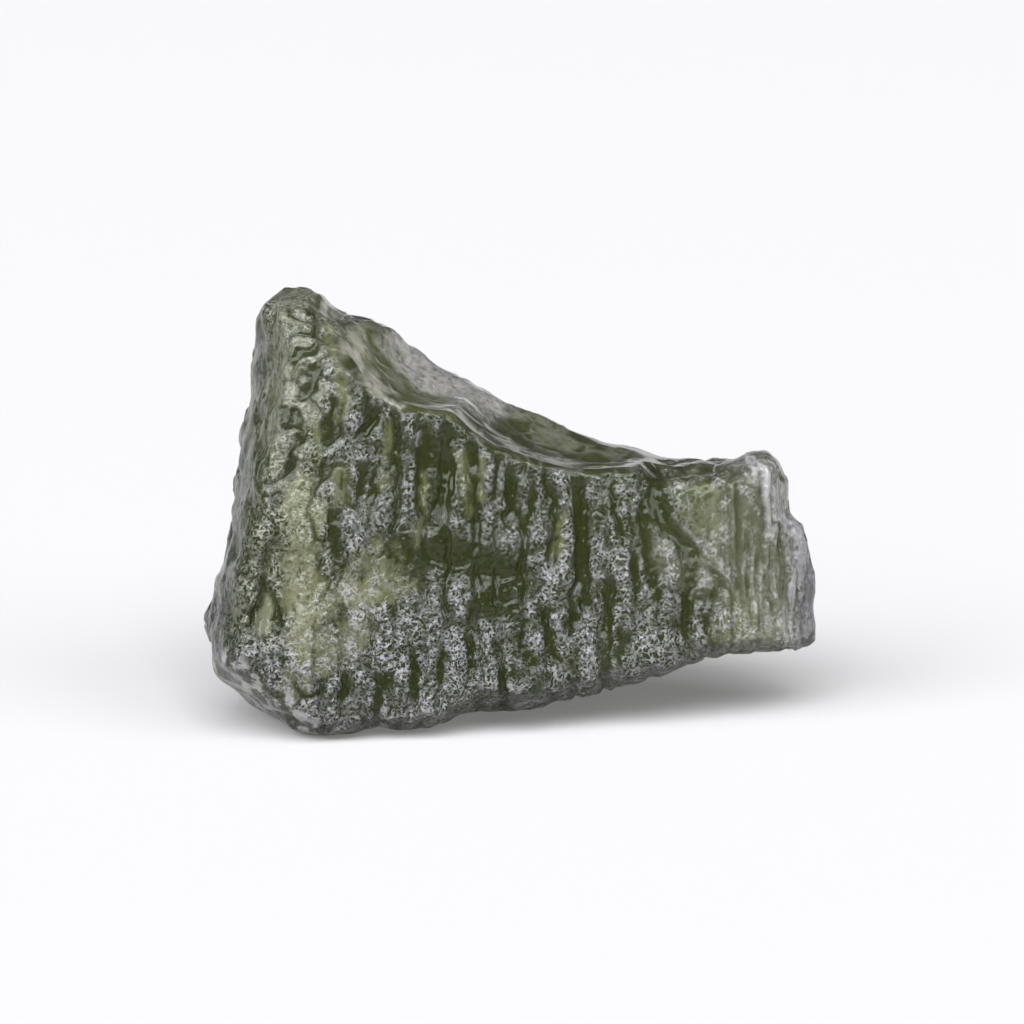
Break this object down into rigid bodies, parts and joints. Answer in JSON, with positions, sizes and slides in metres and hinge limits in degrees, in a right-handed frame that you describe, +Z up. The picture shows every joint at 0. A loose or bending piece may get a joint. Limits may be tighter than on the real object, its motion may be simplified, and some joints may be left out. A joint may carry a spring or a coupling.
{
  "type": "raw moldavite",
  "caption": "Wedge-shaped piece of natural green glass with upright etched flutes on its broad faces, smooth shell-shaped chips along its top and a small flat spot to rest on.",
  "frame": {"origin": "on the floor, under the middle of the stone's box", "axes": "+X along the stone from its tall end to its low end, -Y out of the broad front face, +Z up"},
  "size_m": [0.0282, 0.0132, 0.0192],
  "materials": {
    "moldavite_glass": "translucent olive-green glass, satin and sparkling on the etched ribs, glossy in the grooves and chips"
  },
  "bodies": {
    "root": {"moldavite": "moldavite_glass"}
  },
  "joints": []
}
